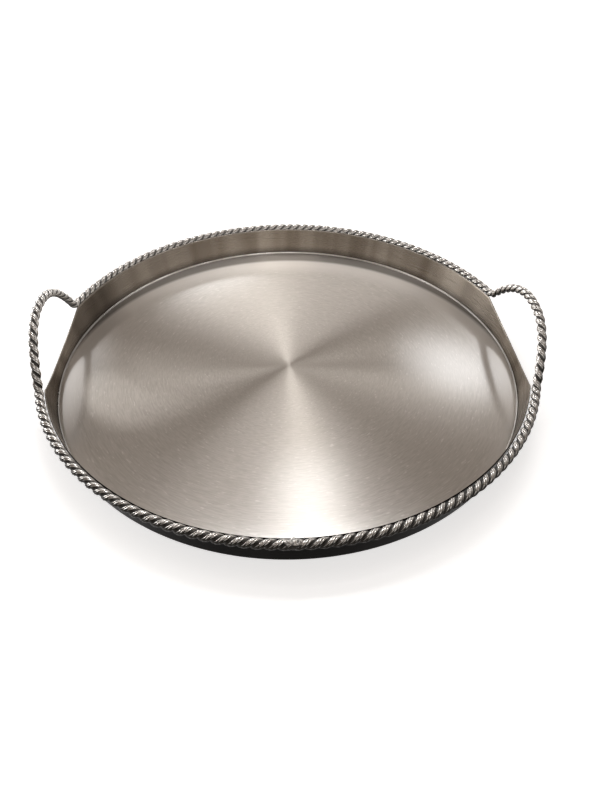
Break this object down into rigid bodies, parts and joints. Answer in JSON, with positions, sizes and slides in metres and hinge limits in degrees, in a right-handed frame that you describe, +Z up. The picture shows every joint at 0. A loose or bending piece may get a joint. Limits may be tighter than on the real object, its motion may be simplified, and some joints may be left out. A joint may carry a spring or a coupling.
{
  "type": "round serving tray",
  "caption": "Round brushed-metal serving tray with a low upright wall, a twisted rope rim and arched rope handles over hand cut-outs.",
  "frame": {"origin": "centre of the flat underside", "axes": "+Z up, away from the surface the tray stands on; +X towards the right handle; +Y away from the viewer"},
  "size_m": [0.3399, 0.3439, 0.0603],
  "materials": {
    "floor_steel": "circular brushed satin",
    "wall_steel": "brushed satin, along the wall",
    "seam_solder": "bright solder bead",
    "rope_steel": "polished wire with tarnish between the strands"
  },
  "bodies": {
    "root": {"floor_disc": "floor_steel", "gallery_wall": "wall_steel", "floor_seam": "seam_solder", "front_right_rope_strand_a": "rope_steel", "front_right_rope_strand_b": "rope_steel", "right_handle_strand_a": "rope_steel", "right_handle_strand_b": "rope_steel", "back_rope_strand_a": "rope_steel", "back_rope_strand_b": "rope_steel", "left_handle_strand_a": "rope_steel", "left_handle_strand_b": "rope_steel", "front_left_rope_strand_a": "rope_steel", "front_left_rope_strand_b": "rope_steel"}
  },
  "joints": []
}
